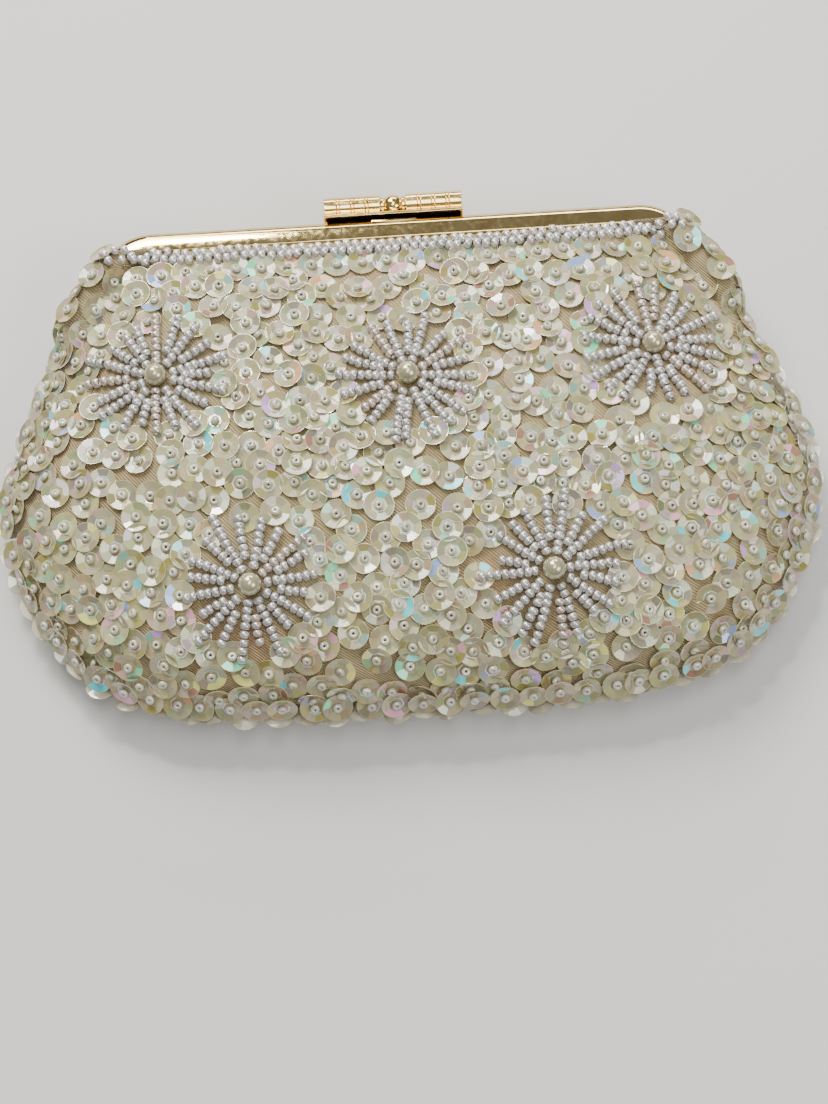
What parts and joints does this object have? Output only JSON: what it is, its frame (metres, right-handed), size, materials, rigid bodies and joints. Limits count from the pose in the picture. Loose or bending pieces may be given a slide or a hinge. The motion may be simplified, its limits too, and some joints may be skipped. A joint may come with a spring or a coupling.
{
  "type": "evening bag",
  "caption": "Beaded evening clutch with a hinged metal frame, padded sequinned panels, satin lining and a lift-up bar clasp.",
  "frame": {"origin": "middle of the bag on the plane it rests on", "axes": "+X along the frame to the right, +Y from the bottom seam to the clasp, +Z out of the front panel"},
  "size_m": [0.1596, 0.1072, 0.0287],
  "materials": {
    "frame_gold": "polished",
    "clasp_gold": "polished",
    "paper_cord": "matte",
    "beadwork": "satin",
    "buckram": "matte",
    "satin": "satin",
    "pearl": "satin"
  },
  "bodies": {
    "bag": {"rear_frame": "frame_gold", "hinge_rivet_right": "frame_gold", "hinge_rivet_left": "frame_gold", "rear_channel_cord": "paper_cord", "front_panel": "beadwork", "back_panel": "beadwork", "front_interlining": "buckram", "back_interlining": "buckram", "front_lining": "satin", "back_lining": "satin", "inner_pocket": "satin", "clasp_bracket": "clasp_gold", "clasp_pin": "clasp_gold", "flower_pearl_upper_left": "pearl", "flower_pearl_upper_centre": "pearl", "flower_pearl_upper_right": "pearl", "flower_pearl_lower_left": "pearl", "flower_pearl_lower_right": "pearl"},
    "front": {"front_frame": "frame_gold", "front_channel_cord": "paper_cord", "front_collar": "beadwork", "collar_interlining": "buckram", "collar_lining": "satin", "clasp_catch": "clasp_gold"},
    "clasp": {"clasp_lever": "clasp_gold", "clasp_rod": "clasp_gold", "clasp_barrel_left": "clasp_gold", "clasp_barrel_right": "clasp_gold", "clasp_ball": "clasp_gold"}
  },
  "joints": [
    {"name": "frame_open", "type": "hinge", "parent": "bag", "child": "front", "pos_m": [0, 0.028, 0.011], "axis": [1, 0, 0], "range_deg": [0, 45]},
    {"name": "clasp_lift", "type": "hinge", "parent": "bag", "child": "clasp", "pos_m": [0, 0.0485, 0.0051], "axis": [-1, 0, 0], "range_deg": [0, 100]}
  ]
}
